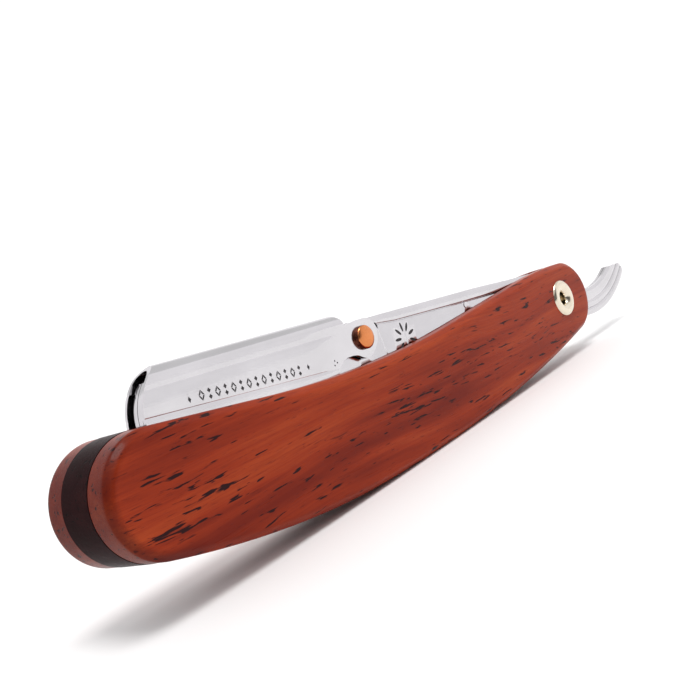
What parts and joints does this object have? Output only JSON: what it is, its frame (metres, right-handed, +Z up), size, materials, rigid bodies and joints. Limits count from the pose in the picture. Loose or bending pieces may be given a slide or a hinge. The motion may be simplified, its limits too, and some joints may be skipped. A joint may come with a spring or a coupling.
{
  "type": "straight razor",
  "caption": "Folding straight razor with curved wooden scales, a hinged steel arm with curled tail, and a swinging cover over a replaceable half blade, standing closed on its belly.",
  "frame": {"origin": "on the floor under the middle of the closed razor's bounding box, the razor standing on its belly", "axes": "+Z up, +X along the razor towards the curled tail, -Y out of the front scale"},
  "size_m": [0.1689, 0.0156, 0.0332],
  "materials": {
    "red_wood": "red-brown hardwood, satin lacquer",
    "dark_wood": "dark brown hardwood, satin lacquer",
    "nickel_plate": "nickel-plated brass",
    "polished_steel": "mirror-polished stainless sheet",
    "blade_steel": "fine ground blade steel",
    "copper": "bright copper"
  },
  "bodies": {
    "handle": {"scale_front": "red_wood", "scale_back": "red_wood", "wedge_spacer": "dark_wood", "pivot_eyelet": "nickel_plate", "eyelet_back_washer": "nickel_plate", "thrust_washer_front": "nickel_plate", "thrust_washer_back": "nickel_plate"},
    "blade_arm": {"arm_sheet_front": "polished_steel", "arm_sheet_back": "polished_steel", "arm_pin": "polished_steel", "blade_stud_nose": "polished_steel", "blade_stud_heel": "polished_steel", "half_blade": "blade_steel", "cover_rivet": "copper"},
    "cover": {"blade_cover": "polished_steel"}
  },
  "joints": [
    {"name": "arm_hinge", "type": "hinge", "parent": "handle", "child": "blade_arm", "pos_m": [0.04576, 0, 0.01327], "axis": [0, 1, 0], "range_deg": [0, 300]},
    {"name": "cover_hinge", "type": "hinge", "parent": "blade_arm", "child": "cover", "pos_m": [-0.02061, 0, 0.02403], "axis": [0, 1, 0], "range_deg": [0, 90]}
  ]
}
